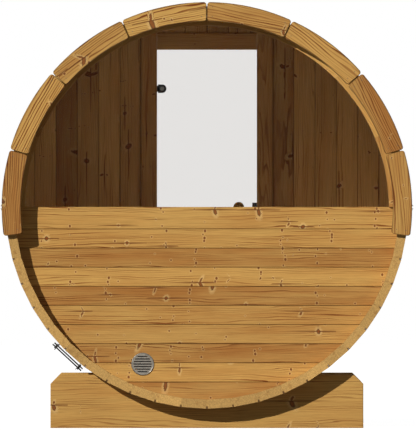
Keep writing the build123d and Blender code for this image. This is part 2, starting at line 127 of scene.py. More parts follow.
FLOOR_SCREW_SPREAD = 0.030
FLOOR_SCREW_RADIUS = 0.0040
FLOOR_SCREW_HEIGHT = 0.0004
NAIL_INSETS = (0.024, 0.072)
NAIL_END_ANGLE = 0.028
NAIL_RADIUS = 0.0022
NAIL_HEIGHT = 0.0003


def linear(code):
    """An sRGB hex colour as Blender's linear colour."""
    values = [int(code[place:place + 2], 16) / 255 for place in (1, 3, 5)]
    bent = [v / 12.92 if v <= 0.04045 else ((v + 0.055) / 1.055) ** 2.4 for v in values]
    return (*bent, 1.0)


def put(tree, kind, links=(), **settings):
    """Add a node with its settings and feed its inputs with nodes, sockets or values.

    Where the inputs are numbered, a Map Range has its from limits in 1 and 2 and its to limits in 3 and 4.
    A Mix has its share in 0 and what it mixes in 2 and 3, or in 6 and 7 for colours."""
    node = tree.nodes.new(kind)
    for key, value in settings.items():
        setattr(node, key, value)
    fed = links.items() if isinstance(links, dict) else enumerate(links)
    for key, value in fed:
        if isinstance(value, bpy.types.Node):
            value = value.outputs[0]
        if isinstance(value, bpy.types.NodeSocket):
            tree.links.new(value, node.inputs[key])
        else:
            node.inputs[key].default_value = value
    return node


def new_material(name):
    """A material with only its output, its surface shader and the object's coordinates."""
    material = bpy.data.materials.new(name)
    material.use_nodes = True
    tree = material.node_tree
    tree.nodes.clear()
    output = put(tree, "ShaderNodeOutputMaterial")
    shader = put(tree, "ShaderNodeBsdfPrincipled")
    tree.links.new(shader.outputs[0], output.inputs[0])
    place = put(tree, "ShaderNodeTexCoord").outputs["Object"]
    return material, tree, shader, place


def straight_pieces(tree, place, along, across, pitch, start, last=1000):
    """Grain frame of straight boards: a vector (along, across, through), the board's number and its edge.

    What lies past the last board's start belongs to it, however wide it is."""
    split = put(tree, "ShaderNodeSeparateXYZ", (place,))
    axes = {"x": split.outputs[0], "y": split.outputs[1], "z": split.outputs[2]}
    through = ({"x", "y", "z"} - {along, across}).pop()
    offset = put(tree, "ShaderNodeMath", (axes[across], start), operation="SUBTRACT")
    step = put(tree, "ShaderNodeMath", (offset, pitch), operation="DIVIDE")
    whole = put(tree, "ShaderNodeMath", (step,), operation="FLOOR")
    number = put(tree, "ShaderNodeMath", (whole, float(last)), operation="MINIMUM")
    vector = put(tree, "ShaderNodeCombineXYZ", (axes[along], offset, axes[through]))
    held = put(tree, "ShaderNodeMath", (offset, (last + 0.5) * pitch), operation="MINIMUM")
    edge = put(tree, "ShaderNodeMath", (held, pitch / 2), operation="PINGPONG")
    return vector, number, edge


def round_pieces(tree, place, step_angle, start_angle, along, rims=None):
    """Grain frame of pieces set round the barrel's axis, each turned back to the top.

    The edge is the distance to the next joint, or to the inner or outer rim where these are given."""
    centred = put(tree, "ShaderNodeVectorMath", (place, (0.0, 0.0, AXIS_Z)), operation="SUBTRACT")
    split = put(tree, "ShaderNodeSeparateXYZ", (centred,))
    angle = put(tree, "ShaderNodeMath", (split.outputs[2], split.outputs[0]), operation="ARCTAN2")
    turned = put(tree, "ShaderNodeMath", (angle, start_angle), operation="SUBTRACT")
    wrapped = put(tree, "ShaderNodeMath", (turned, 2 * math.pi, 0.0), operation="WRAP")
    step = put(tree, "ShaderNodeMath", (wrapped, step_angle), operation="DIVIDE")
    number = put(tree, "ShaderNodeMath", (step,), operation="FLOOR")
    first = start_angle + step_angle / 2
    middle = put(tree, "ShaderNodeMath", (number, step_angle, first), operation="MULTIPLY_ADD")
    back = put(tree, "ShaderNodeMath", (middle, math.pi / 2), operation="SUBTRACT")
    upright = put(tree, "ShaderNodeVectorRotate", {"Vector": centred, "Angle": back}, rotation_type="Y_AXIS")
    local = put(tree, "ShaderNodeSeparateXYZ", (upright,))
    if along == "y":
        order = (local.outputs[1], local.outputs[0], local.outputs[2])
    else:
        order = (local.outputs[0], local.outputs[2], local.outputs[1])
    beside = put(tree, "ShaderNodeMath", (wrapped, step_angle / 2), operation="PINGPONG")
    edge = put(tree, "ShaderNodeMath", (beside, OUTER_RADIUS), operation="MULTIPLY")
    if rims:
        section = put(tree, "ShaderNodeCombineXYZ", (split.outputs[0], split.outputs[2], 0.0))
        radius = put(tree, "ShaderNodeVectorMath", (section,), operation="LENGTH").outputs["Value"]
        above = put(tree, "ShaderNodeMath", (radius, rims[0]), operation="SUBTRACT")
        below = put(tree, "ShaderNodeMath", (rims[1], radius), operation="SUBTRACT")
        rim_edge = put(tree, "ShaderNodeMath", (above, below), operation="MINIMUM")
        edge = put(tree, "ShaderNodeMath", (edge, rim_edge), operation="MINIMUM")
    return put(tree, "ShaderNodeCombineXYZ", order), number, edge


# Planed softwood: honey early wood, thin brown late wood, dark knots with a pale rim
SPRUCE = {
    "early": "#BF904C",
    "warm": "#A96E30",
    "pale": "#CDA358",
    "late": "#743A06",
    "rim": "#DCB473",
    "check": "#5E2A00",
    "pin": "#6B3000",
    "knot": "#3A1800",
    "heart": "#7D3F0A",
    "end": "#C29857",
    "pore": "#976830",
}


def branch_knots(tree, moved, cell, knots):
    """Large knots: each cell may hold one, round or as the two arms of a branch cut along, with a check.

    Gives the shares of the dark knot, of its pale rim and of the check, and the distance over the radius."""
    narrow = 0.6
    arm_offset = 0.013
    ragged_by = 0.010
    bare_cells = 0.34
    largest = 0.0110 * knots
    flat = put(tree, "ShaderNodeVectorMath", (moved, (narrow / cell, 1.0 / cell, 0.0)), operation="MULTIPLY")
    cells = put(tree, "ShaderNodeTexVoronoi", {"Vector": flat, "Scale": 1.0}, voronoi_dimensions="2D")
    draw = put(tree, "ShaderNodeSeparateXYZ", (cells.outputs["Color"],))
    gap = put(tree, "ShaderNodeVectorMath", (flat, cells.outputs["Position"]), operation="SUBTRACT")
    real = put(tree, "ShaderNodeVectorMath", (gap, (cell / narrow, cell, 0.0)), operation="MULTIPLY")
    beside = put(tree, "ShaderNodeSeparateXYZ", (real,))
    off_line = put(tree, "ShaderNodeMath", (beside.outputs[1],), operation="ABSOLUTE")

    # Two arms stand off the check to either side, the second one thinner
    armed = put(tree, "ShaderNodeMath", (draw.outputs[2], 0.5), operation="GREATER_THAN")
    lifted = put(tree, "ShaderNodeMath", (off_line, arm_offset), operation="SUBTRACT")
    folded = put(tree, "ShaderNodeMix", {0: armed, 2: beside.outputs[1], 3: lifted})
    second = put(tree, "ShaderNodeMath", (beside.outputs[1], 0.0), operation="GREATER_THAN")
    thinner = put(tree, "ShaderNodeMath", (second, armed), operation="MULTIPLY")
    girth = put(tree, "ShaderNodeMath", (thinner, -0.45, 1.0), operation="MULTIPLY_ADD")
    laid = put(tree, "ShaderNodeCombineXYZ", (beside.outputs[0], folded, 0.0))
    lean = put(tree, "ShaderNodeMapRange", {"Value": draw.outputs[1], 1: 0.0, 2: 1.0, 3: -0.75, 4: 0.75})
    leant = put(tree, "ShaderNodeVectorRotate", {"Vector": laid, "Angle": lean}, rotation_type="Z_AXIS")
    spike = put(tree, "ShaderNodeMapRange", {"Value": draw.outputs[2], 1: 0.3, 2: 0.9, 3: 0.85, 4: 0.28})
    stretch = put(tree, "ShaderNodeCombineXYZ", (1.0, spike, 0.0))
    squeezed = put(tree, "ShaderNodeVectorMath", (leant, stretch), operation="MULTIPLY")
    ragged = put(tree, "ShaderNodeTexNoise", {"Vector": moved, "Scale": 150.0, "Detail": 2.0})
    jitter = put(tree, "ShaderNodeVectorMath", {0: ragged.outputs["Color"], 3: ragged_by}, operation="SCALE")
    middle = (ragged_by / 2, ragged_by / 2, ragged_by / 2)
    centred = put(tree, "ShaderNodeVectorMath", (jitter, middle), operation="SUBTRACT")
    drawn = put(tree, "ShaderNodeVectorMath", (squeezed, centred), operation="ADD")
    from_knot = put(tree, "ShaderNodeVectorMath", (drawn,), operation="LENGTH").outputs["Value"]
    full = put(
        tree, "ShaderNodeMapRange",
        {"Value": draw.outputs[0], 1: bare_cells, 2: 1.0, 3: 0.0, 4: largest},
    )
    radius = put(tree, "ShaderNodeMath", (full, girth), operation="MULTIPLY")
    reach = put(tree, "ShaderNodeMath", (radius, 0.0001), operation="ADD")
    ratio = put(tree, "ShaderNodeMath", (from_knot, reach), operation="DIVIDE")
    knot = put(
        tree, "ShaderNodeMapRange", {"Value": ratio, 1: 0.7, 2: 1.1, 3: 0.92, 4: 0.0},
        interpolation_type="SMOOTHSTEP",
    )
    rim = put(
        tree, "ShaderNodeMapRange", {"Value": ratio, 1: 1.0, 2: 2.4, 3: 1.0, 4: 0.0},
        interpolation_type="SMOOTHSTEP",
    )

    # The check runs along the grain through the larger knots and fades out
    line = put(tree, "ShaderNodeMapRange", {"Value": off_line, 1: 0.0012, 2: 0.0042, 3: 1.0, 4: 0.0})
    away = put(tree, "ShaderNodeMath", (beside.outputs[0],), operation="ABSOLUTE")
    reaching = put(tree, "ShaderNodeMath", (full, 20.0, 0.02), operation="MULTIPLY_ADD")
    share = put(tree, "ShaderNodeMath", (away, reaching), operation="DIVIDE")
    fading = put(
        tree, "ShaderNodeMapRange", {"Value": share, 1: 0.0, 2: 1.0, 3: 0.9, 4: 0.0},
        interpolation_type="SMOOTHSTEP",
    )
    large = put(tree, "ShaderNodeMapRange", {"Value": draw.outputs[0], 1: 0.5, 2: 0.6, 3: 0.0, 4: 1.0})
    seen = put(tree, "ShaderNodeMath", (line, fading), operation="MULTIPLY")
    check = put(tree, "ShaderNodeMath", (seen, large), operation="MULTIPLY")
    return knot, rim, check, ratio


def pin_rows(tree, moved, seeded, knots):
    """Pin knots in short rows across a board, where a ring of small branches was cut through."""
    row_pitch = 0.21
    pin_pitch = 0.017
    stray = 0.016
    bare_rows = 0.42
    bare_pins = 0.5
    largest = 0.0068 * knots
    split = put(tree, "ShaderNodeSeparateXYZ", (moved,))
    row_step = put(tree, "ShaderNodeMath", (split.outputs[0], row_pitch), operation="DIVIDE")
    row = put(tree, "ShaderNodeMath", (row_step,), operation="FLOOR")
    pin_step = put(tree, "ShaderNodeMath", (split.outputs[1], pin_pitch), operation="DIVIDE")
    pin = put(tree, "ShaderNodeMath", (pin_step,), operation="FLOOR")
    row_seed = put(tree, "ShaderNodeCombineXYZ", (row, seeded, 0.0))
    row_odds = put(tree, "ShaderNodeTexWhiteNoise", {"Vector": row_seed}, noise_dimensions="2D")
    row_draw = put(tree, "ShaderNodeSeparateXYZ", (row_odds.outputs["Color"],))
    pin_seed = put(tree, "ShaderNodeCombineXYZ", (row, seeded, pin))
    pin_odds = put(tree, "ShaderNodeTexWhiteNoise", {"Vector": pin_seed}, noise_dimensions="3D")
    pin_draw = put(tree, "ShaderNodeSeparateXYZ", (pin_odds.outputs["Color"],))

    # Where this row and this pin lie, and how far off the surface point is
    row_place = put(tree, "ShaderNodeMath", (row_draw.outputs[0], 0.6, 0.2), operation="MULTIPLY_ADD")
    row_rest = put(tree, "ShaderNodeMath", (row_step, row), operation="SUBTRACT")
    row_gap = put(tree, "ShaderNodeMath", (row_rest, row_place), operation="SUBTRACT")
    row_off = put(tree, "ShaderNodeMath", (row_gap, row_pitch), operation="MULTIPLY")
    wander = put(tree, "ShaderNodeMath", (pin_draw.outputs[0], stray, -stray / 2), operation="MULTIPLY_ADD")
    pin_along = put(tree, "ShaderNodeMath", (row_off, wander), operation="SUBTRACT")
    pin_place = put(tree, "ShaderNodeMath", (pin_draw.outputs[1], 0.4, 0.3), operation="MULTIPLY_ADD")
    pin_rest = put(tree, "ShaderNodeMath", (pin_step, pin), operation="SUBTRACT")
    pin_gap = put(tree, "ShaderNodeMath", (pin_rest, pin_place), operation="SUBTRACT")
    pin_across = put(tree, "ShaderNodeMath", (pin_gap, pin_pitch * 0.8), operation="MULTIPLY")
    off = put(tree, "ShaderNodeCombineXYZ", (pin_along, pin_across, 0.0))
    distance = put(tree, "ShaderNodeVectorMath", (off,), operation="LENGTH").outputs["Value"]
    present = put(tree, "ShaderNodeMath", (row_draw.outputs[1], bare_rows), operation="GREATER_THAN")
    chance = put(tree, "ShaderNodeMath", (pin_draw.outputs[2], present), operation="MULTIPLY")
    return pin_marks(tree, chance, bare_pins, largest, distance)


def single_pins(tree, moved, knots):
    """Pin knots scattered by themselves, one in about every fifth patch of 70 mm."""
    patches = 14.0
    bare_patches = 0.82
    largest = 0.0054 * knots
    spread = put(tree, "ShaderNodeVectorMath", (moved, (patches, patches, 0.0)), operation="MULTIPLY")
    pins = put(tree, "ShaderNodeTexVoronoi", {"Vector": spread, "Scale": 1.0}, voronoi_dimensions="2D")
    draw = put(tree, "ShaderNodeSeparateXYZ", (pins.outputs["Color"],))
    distance = put(tree, "ShaderNodeMath", (pins.outputs["Distance"], patches), operation="DIVIDE")
    return pin_marks(tree, draw.outputs[0], bare_patches, largest, distance)


def pin_marks(tree, chance, threshold, largest, distance):
    """The dark dot of a pin knot and the pale ring round it, in shares, where the chance is high enough."""
    if largest == 0:
        return 0.0, 0.0
    dot_edge = 0.0014
    ring_start = 0.0005
    ring_end = 0.0055
    exists = put(tree, "ShaderNodeMath", (chance, threshold), operation="GREATER_THAN")
    size = put(
        tree, "ShaderNodeMapRange", {"Value": chance, 1: threshold, 2: 1.0, 3: largest / 2, 4: largest},
    )
    radius = put(tree, "ShaderNodeMath", (size, exists), operation="MULTIPLY")
    inside = put(tree, "ShaderNodeMath", (radius, distance), operation="SUBTRACT")
    dot = put(tree, "ShaderNodeMapRange", {"Value": inside, 1: 0.0, 2: dot_edge, 3: 0.0, 4: 0.9})
    around = put(
        tree, "ShaderNodeMapRange", {"Value": inside, 1: -ring_end, 2: -ring_start, 3: 0.0, 4: 1.0},
    )
    halo = put(tree, "ShaderNodeMath", (around, exists), operation="MULTIPLY")
    return dot, halo


def year_rings(tree, moved, across, under, seeded, rim, rings, bold, least):
    """Late wood in lines along the grain: rings round a pith line beside the board, swayed by slow noise
    and pushed aside by knots."""
    sway_by = 0.085
    knot_push = 0.014
    slow = put(tree, "ShaderNodeVectorMath", (moved, (1.3, 11.0, 11.0)), operation="MULTIPLY")
    sway = put(tree, "ShaderNodeTexNoise", {"Vector": slow, "Scale": 1.0, "Detail": 3.0, "Roughness": 0.5})
    flank = put(tree, "ShaderNodeCombineXYZ", (across, under, 0.0))
    distance = put(tree, "ShaderNodeVectorMath", (flank,), operation="LENGTH").outputs["Value"]
    swayed = put(tree, "ShaderNodeMath", (sway, sway_by, distance), operation="MULTIPLY_ADD")
    bent = put(tree, "ShaderNodeMath", (rim, knot_push, swayed), operation="MULTIPLY_ADD")
    phase = put(tree, "ShaderNodeMath", (bent, rings), operation="DIVIDE")
    saw = put(tree, "ShaderNodeMath", (phase,), operation="FRACT")
    late = put(
        tree, "ShaderNodeMapRange", {"Value": saw, 1: 0.5, 2: 0.95, 3: 0.0, 4: 1.0},
        interpolation_type="SMOOTHERSTEP",
    )
    ring_number = put(tree, "ShaderNodeMath", (phase,), operation="FLOOR")
    ring_seed = put(tree, "ShaderNodeCombineXYZ", (ring_number, seeded, 0.0))
    ring_odds = put(tree, "ShaderNodeTexWhiteNoise", {"Vector": ring_seed}, noise_dimensions="2D")
    depth = put(
        tree, "ShaderNodeMapRange",
        {"Value": ring_odds.outputs["Value"], 1: 0.0, 2: 1.0, 3: least * bold, 4: 1.5 * bold},
        interpolation_type="SMOOTHSTEP",
    )
    patch = put(tree, "ShaderNodeVectorMath", (moved, (3.0, 24.0, 24.0)), operation="MULTIPLY")
    fade = put(tree, "ShaderNodeTexNoise", {"Vector": patch, "Scale": 1.0, "Detail": 1.0})
    shown = put(tree, "ShaderNodeMapRange", {"Value": fade, 1: 0.36, 2: 0.66, 3: 0.15 + least / 2, 4: 1.0})
    strength = put(tree, "ShaderNodeMath", (depth, shown), operation="MULTIPLY")
    return put(tree, "ShaderNodeMath", (late, strength), operation="MULTIPLY")


def sawn_ends(tree, color, vector, moved, across, under, board_tone, ends):
    """Sawn ends over a colour: paler and blotched, with the year rings as arcs and with open pores."""
    pith_height = 1.10
    arc_width = 0.006
    pore_scale = 150.0
    blotch_scale = 38.0
    split = put(tree, "ShaderNodeSeparateXYZ", (vector,))
    normal = put(tree, "ShaderNodeTexCoord").outputs["Normal"]
    facing = put(tree, "ShaderNodeVectorMath", (normal, ends), operation="DOT_PRODUCT").outputs["Value"]
    square = put(tree, "ShaderNodeMath", (facing,), operation="ABSOLUTE")
    is_end = put(tree, "ShaderNodeMapRange", {"Value": square, 1: 0.6, 2: 0.9, 3: 0.0, 4: 1.0})
    lift = put(tree, "ShaderNodeMath", (split.outputs[2], under), operation="ADD")
    lowered = put(tree, "ShaderNodeMath", (lift, pith_height), operation="SUBTRACT")
    section = put(tree, "ShaderNodeCombineXYZ", (across, lowered, 0.0))
    out = put(tree, "ShaderNodeVectorMath", (section,), operation="LENGTH").outputs["Value"]
    arc_phase = put(tree, "ShaderNodeMath", (out, arc_width), operation="DIVIDE")
    arc = put(tree, "ShaderNodeMath", (arc_phase,), operation="FRACT")
    pores = put(tree, "ShaderNodeTexNoise", {"Vector": moved, "Scale": pore_scale, "Detail": 3.0})
    arc_tone = put(tree, "ShaderNodeMath", (arc, -0.34, 0.96), operation="MULTIPLY_ADD")
    opened = put(tree, "ShaderNodeMapRange", {"Value": pores, 1: 0.35, 2: 0.65, 3: 0.0, 4: 0.28})
    end_tone = put(tree, "ShaderNodeMath", (opened, arc_tone), operation="ADD")
    end_level = put(tree, "ShaderNodeMath", (end_tone, board_tone), operation="MULTIPLY")
    blotch = put(tree, "ShaderNodeTexNoise", {"Vector": moved, "Scale": blotch_scale, "Detail": 3.0})
    stain = put(tree, "ShaderNodeMapRange", {"Value": blotch, 1: 0.55, 2: 0.70, 3: 0.0, 4: 0.5})
    stained = put(
        tree, "ShaderNodeMix", {0: stain, 6: linear(SPRUCE["end"]), 7: linear(SPRUCE["pore"])},
        data_type="RGBA",
    )
    cut = put(tree, "ShaderNodeVectorMath", {0: stained.outputs[2], 3: end_level}, operation="SCALE")
    return put(tree, "ShaderNodeMix", {0: is_end, 6: color, 7: cut}, data_type="RGBA").outputs[2]


def planed_wood(name, coordinates, seed=0.0, tone=1.0, knots=1.0, cell=0.13, rings=0.010, bold=0.55,
                least=0.1, ends=None, seam=0.0, rim_joint_shade=False, vary=1.0, rows=1.0, pins=1.0, halo=0.42,
                tint=(1.0, 1.0, 1.0)):
    """Planed boards, each with its own tone and its own stretch of the grain.

    Spruce has rings 2 to 4 mm wide, drawn about 10 mm wide so that they show. The cell is the spacing of
    large knots, and the seam shade is how far the painted shade reaches from a joint, both in metres. Rows
    and pins scale the small knots, halo the pale wood round knots, and vary the difference between boards."""
    spread = (9.0, 5.0, 0.0)
    material, tree, shader, place = new_material(name)
    vector, number, edge = coordinates(tree, place)
    seeded = put(tree, "ShaderNodeMath", (number, seed), operation="ADD")
    chance = put(tree, "ShaderNodeTexWhiteNoise", {"W": seeded}, noise_dimensions="1D")
    odds = put(tree, "ShaderNodeSeparateXYZ", (chance.outputs["Color"],))
    shift = put(tree, "ShaderNodeVectorMath", (chance.outputs["Color"], spread), operation="MULTIPLY")
    moved = put(tree, "ShaderNodeVectorMath", (vector, shift), operation="ADD")
    split = put(tree, "ShaderNodeSeparateXYZ", (vector,))
    aside = put(tree, "ShaderNodeMath", (odds.outputs[1], 0.16, -0.03), operation="MULTIPLY_ADD")
    across = put(tree, "ShaderNodeMath", (split.outputs[1], aside), operation="SUBTRACT")
    under = put(tree, "ShaderNodeMath", (odds.outputs[2], 0.05, 0.03), operation="MULTIPLY_ADD")

    knot, rim, check, ratio = branch_knots(tree, moved, cell, knots)
    row_pin, row_halo = pin_rows(tree, moved, seeded, knots * rows)
    lone_pin, lone_halo = single_pins(tree, moved, knots * pins)
    ring = year_rings(tree, moved, across, under, seeded, rim, rings, bold, least)
    thin = put(tree, "ShaderNodeVectorMath", (moved, (9.0, 300.0, 300.0)), operation="MULTIPLY")
    fibre = put(tree, "ShaderNodeTexNoise", {"Vector": thin, "Scale": 1.0, "Detail": 4.0, "Roughness": 0.65})

    # Early wood drifts between two tones, and some boards are warmer than others
    wide = put(tree, "ShaderNodeVectorMath", (moved, (2.2, 16.0, 16.0)), operation="MULTIPLY")
    drift = put(tree, "ShaderNodeTexNoise", {"Vector": wide, "Scale": 1.0, "Detail": 3.0})
    board_drift = put(tree, "ShaderNodeMath", (odds.outputs[1], 0.16, drift), operation="MULTIPLY_ADD")
    drifted = put(tree, "ShaderNodeMapRange", {"Value": board_drift, 1: 0.38, 2: 0.74, 3: 0.0, 4: 1.0})
    color = put(
        tree, "ShaderNodeMix", {0: drifted, 6: linear(SPRUCE["warm"]), 7: linear(SPRUCE["early"])},
        data_type="RGBA",
    ).outputs[2]
    inner = put(tree, "ShaderNodeMapRange", {"Value": ratio, 1: 0.4, 2: 0.9, 3: 0.0, 4: 1.0})
    knot_tone = put(
        tree, "ShaderNodeMix", {0: inner, 6: linear(SPRUCE["heart"]), 7: linear(SPRUCE["knot"])},
        data_type="RGBA",
    )
    halos = put(tree, "ShaderNodeMath", (row_halo, lone_halo), operation="MAXIMUM")
    dots = put(tree, "ShaderNodeMath", (row_pin, lone_pin), operation="MAXIMUM")
    layers = (
        (put(tree, "ShaderNodeMath", (odds.outputs[0], 0.6), operation="MULTIPLY"), linear(SPRUCE["pale"])),
        (ring, linear(SPRUCE["late"])),
        (put(tree, "ShaderNodeMath", (rim, 1.4 * halo), operation="MULTIPLY"), linear(SPRUCE["rim"])),
        (put(tree, "ShaderNodeMath", (halos, halo), operation="MULTIPLY"), linear(SPRUCE["rim"])),
        (check, linear(SPRUCE["check"])),
        (dots, linear(SPRUCE["pin"])),
        (knot, knot_tone.outputs[2]),
    )
    for share, over in layers:
        color = put(tree, "ShaderNodeMix", {0: share, 6: color, 7: over}, data_type="RGBA").outputs[2]

    # Fibres, the board's own tone and painted shade along the joints
    fibre_tone = put(
        tree, "ShaderNodeMapRange", {"Value": fibre, 1: 0.25, 2: 0.75, 3: 0.80 * tone, 4: 1.20 * tone},
    )
    board_tone = put(
        tree, "ShaderNodeMapRange",
        {"Value": chance, 1: 0.0, 2: 1.0, 3: 1.0 - 0.11 * vary, 4: 1.0 + 0.09 * vary},
    )
    level = put(tree, "ShaderNodeMath", (fibre_tone, board_tone), operation="MULTIPLY")
    # Painted shade: the colour darkens to 55 % at a joint and fades out over the seam shade's reach
    if seam > 0:
        painted_edge_shade = put(tree, "ShaderNodeMapRange", {"Value": edge, 1: seam / 3, 2: seam, 3: 0.55, 4: 1.0})
        level = put(tree, "ShaderNodeMath", (level, painted_edge_shade), operation="MULTIPLY")
    color = put(tree, "ShaderNodeVectorMath", {0: color, 3: level}, operation="SCALE").outputs[0]
    color = put(tree, "ShaderNodeVectorMath", (color, tint), operation="MULTIPLY").outputs[0]
    if ends is not None:
        color = sawn_ends(tree, color, vector, moved, across, under, board_tone, ends)
    if rim_joint_shade:
        # Painted shade: the joints stand a little open at the outer rim, and the shade in them is painted as
        # dark dots about 10 mm across
        dot_start, dot_end = 0.991, 0.995
        dot_half, dot_fade = 0.003, 0.006
        outer = put(
            tree, "ShaderNodeMapRange",
            {"Value": split.outputs[2], 1: dot_start, 2: dot_end, 3: 0.0, 4: 1.0},
        )
        joint = put(tree, "ShaderNodeMapRange", {"Value": edge, 1: dot_half, 2: dot_fade, 3: 0.85, 4: 0.0})
        painted_joint_shade = put(tree, "ShaderNodeMath", (outer, joint), operation="MULTIPLY")
        color = put(
            tree, "ShaderNodeMix", {0: painted_joint_shade, 6: color, 7: linear(SPRUCE["knot"])},
            data_type="RGBA",
        ).outputs[2]

    tree.links.new(color, shader.inputs["Base Color"])
    rough = put(tree, "ShaderNodeMapRange", {"Value": fibre, 1: 0.2, 2: 0.8, 3: 0.74, 4: 0.58})
    tree.links.new(rough.outputs[0], shader.inputs["Roughness"])
    grain = put(tree, "ShaderNodeMath", (ring, 0.8, fibre), operation="MULTIPLY_ADD")
    height = put(tree, "ShaderNodeMath", (knot, -0.8, grain), operation="MULTIPLY_ADD")
    bump = put(tree, "ShaderNodeBump", {"Height": height, "Strength": 0.4, "Distance": 0.0008})
    tree.links.new(bump.outputs[0], shader.inputs["Normal"])
    shader.inputs["Specular IOR Level"].default_value = 0.2
    return material


def dress(material, *names):
    """Give CAD nodes their material."""
    for name in names:
        slots = nodes[name].data.materials
        slots.clear()
        slots.append(material)


def stave_boards():
    """Staves: planed spruce with the grain along the barrel and pale sawn ends."""
    # Painted shade darkens the joints between staves, and dark dots at the outer rim paint the shade of the
    # open joints
    return planed_wood(
        "planed_stave_spruce",
        lambda tree, place: round_pieces(tree, place, STAVE_ANGLE, 0.0, "y"),
        seed=3.0, ends=(0.0, 1.0, 0.0), seam=0.0024, rim_joint_shade=True, vary=1.6,
    )


def trim_boards(name, seed):
    """Curved trim sawn from straight planks, so that the grain runs along each piece's chord."""
    # Painted shade outlines each piece: it darkens along the joints and along the inner and outer rims
    return planed_wood(
        name,
        lambda tree, place: round_pieces(tree, place, TRIM_ANGLE, -TRIM_DROP, "x", TRIM_RIMS),
        seed=seed, knots=1.3, cell=0.105, rings=0.0125, bold=1.1, least=0.5, tone=0.90, rows=0.0, seam=0.007,
    )


def bead_boards():
    """Glazing beads, sawn in short curved lengths from the same spruce."""
    return planed_wood(
        "planed_bead_spruce",
        lambda tree, place: round_pieces(tree, place, BEAD_ANGLE, 0.0, "x"),
        seed=41.0, knots=0.5,
    )


def flat_boards(name, along, across, pitch, start, seed, last=1000, **more):
    """Boards of a wall, floor or frame."""
    return planed_wood(
        name,
        lambda tree, place: straight_pieces(tree, place, along, across, pitch, start, last),
        seed=seed, **more,
    )


def clear_glass(name, code):
    """Toughened float glass: smooth and clear with a faint grey tint. The IOR is below float glass's 1.52,
    so that the white studio in the pane doesn't wash out the dark cabin behind it."""
    material, _, shader, _ = new_material(name)
    shader.inputs["Base Color"].default_value = linear(code)
    shader.inputs["Transmission Weight"].default_value = 1.0
    shader.inputs["Roughness"].default_value = 0.0
    shader.inputs["IOR"].default_value = 1.1
    return material


def worn_metal(name, code, metallic, low_rough, high_rough, scale):
    """Metal or plastic with a slightly uneven tone, gloss and surface. The scale is of its unevenness, as
    coarse as it needs to show."""
    depth = 0.0002
    material, tree, shader, place = new_material(name)
    noise = {"Vector": place, "Scale": scale, "Detail": 4.0, "Roughness": 0.6}
    uneven = put(tree, "ShaderNodeTexNoise", noise).outputs[0]
    shade = put(tree, "ShaderNodeMapRange", {"Value": uneven, 1: 0.3, 2: 0.7, 3: 0.82, 4: 1.15})
    color = put(tree, "ShaderNodeVectorMath", {0: linear(code)[:3], 3: shade}, operation="SCALE")
    tree.links.new(color.outputs[0], shader.inputs["Base Color"])
    rough = put(tree, "ShaderNodeMapRange", {"Value": uneven, 1: 0.3, 2: 0.7, 3: low_rough, 4: high_rough})
    tree.links.new(rough.outputs[0], shader.inputs["Roughness"])
    shader.inputs["Metallic"].default_value = metallic
    bump = put(tree, "ShaderNodeBump", {"Height": uneven, "Strength": 0.3, "Distance": depth})
    tree.links.new(bump.outputs[0], shader.inputs["Normal"])
    return material


def seen_white(tree):
    """1 for the rays that show the white studio: from the camera, in gloss and through glass."""
    path = put(tree, "ShaderNodeLightPath")
    rays = (path.outputs["Is Glossy Ray"], path.outputs["Is Transmission Ray"])
    seen = put(tree, "ShaderNodeMath", rays, operation="MAXIMUM")
    return put(tree, "ShaderNodeMath", (path.outputs["Is Camera Ray"], seen), operation="MAXIMUM")


def add_sun(name, travel, energy, width, color):
    """A sun lamp that shines along a direction and is some degrees wide."""
    sun = bpy.data.lights.new(name, "SUN")
    sun.energy = energy
    sun.angle = math.radians(width)
    sun.color = color
    lamp = bpy.data.objects.new(name, sun)
    lamp.rotation_mode = "QUATERNION"
    lamp.rotation_quaternion = Vector(travel).to_track_quat("-Z", "Y")
    bpy.context.scene.collection.objects.link(lamp)


def sun_and_sky():
    """A hard key light from the upper left front, as in the photo, and a soft fill from behind.

    The sky is even and weak."""
    add_sun("key", travel=(0.60, 1.0, -0.485), energy=3.45, width=0.6, color=(1.0, 0.985, 0.95))
    add_sun("fill", travel=(-0.55, -1.0, -0.45), energy=1.5, width=14.0, color=(0.95, 0.98, 1.0))

    world = bpy.data.worlds.new("sky")
    bpy.context.scene.world = world
    world.use_nodes = True
    tree = world.node_tree
    tree.nodes.clear()
    white = seen_white(tree)
    sky = put(tree, "ShaderNodeBackground", {"Color": (0.88, 0.96, 1.0, 1.0), "Strength": 0.11})
    blank = put(tree, "ShaderNodeBackground", {"Color": (1.0, 1.0, 1.0, 1.0), "Strength": 1.0})
    mixed = put(tree, "ShaderNodeMixShader", (white, sky, blank))
    put(tree, "ShaderNodeOutputWorld", (mixed,))


def pale_floor():
    """A plain floor that reads white and keeps a pale shadow."""
    floor_grey = 0.25
    glow_level = 0.93
    mesh = bpy.data.meshes.new("floor")
    bm = bmesh.new()
    bmesh.ops.create_grid(bm, x_segments=1, y_segments=1, size=60.0)
    bm.to_mesh(mesh)
    bm.free()
    floor = bpy.data.objects.new("floor", mesh)
    bpy.context.scene.collection.objects.link(floor)
    material = bpy.data.materials.new("studio_floor")
    material.use_nodes = True
    tree = material.node_tree
    tree.nodes.clear()
    lit = put(tree, "ShaderNodeBsdfDiffuse", {"Color": (floor_grey, floor_grey, floor_grey, 1.0)})
    share = put(tree, "ShaderNodeMath", (seen_white(tree), glow_level), operation="MULTIPLY")
    glow = put(tree, "ShaderNodeEmission", {"Color": (1.0, 1.0, 1.0, 1.0), "Strength": share})
    both = put(tree, "ShaderNodeAddShader", (lit, glow))
    put(tree, "ShaderNodeOutputMaterial", (both,))
    mesh.materials.append(material)


